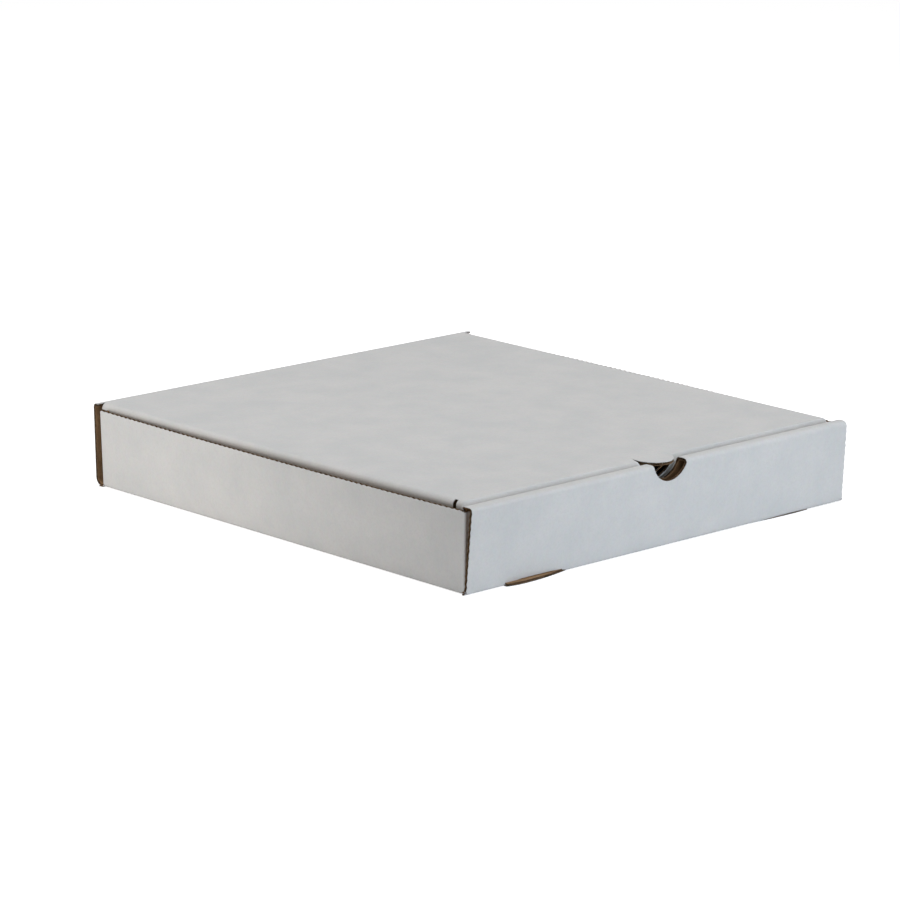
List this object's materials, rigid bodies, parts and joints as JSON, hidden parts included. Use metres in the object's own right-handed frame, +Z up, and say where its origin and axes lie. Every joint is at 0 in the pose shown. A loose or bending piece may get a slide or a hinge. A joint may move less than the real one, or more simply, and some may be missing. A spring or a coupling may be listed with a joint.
{
  "type": "pizza box",
  "caption": "Closed folding pizza box of white-lined corrugated board: self-locking tray with roll-over front, thumb notch and hinged tuck-in lid.",
  "frame": {"origin": "centre of the bounding box on the table, under the base", "axes": "+Z up, +Y towards the hinge at the rear, +X to the right as seen from the thumb-notch side"},
  "size_m": [0.26, 0.2691, 0.0412],
  "materials": {
    "tray_board": "matt white-lined fine-flute corrugated board, brown inside",
    "lid_board": "matt white-lined fine-flute corrugated board, brown inside"
  },
  "bodies": {
    "tray": {"tray": "tray_board"},
    "lid": {"lid": "lid_board"}
  },
  "joints": [
    {"name": "lid_hinge", "type": "hinge", "parent": "tray", "child": "lid", "pos_m": [0, 0.13383, 0.04038], "axis": [-1, 0, 0], "range_deg": [0, 180]}
  ]
}
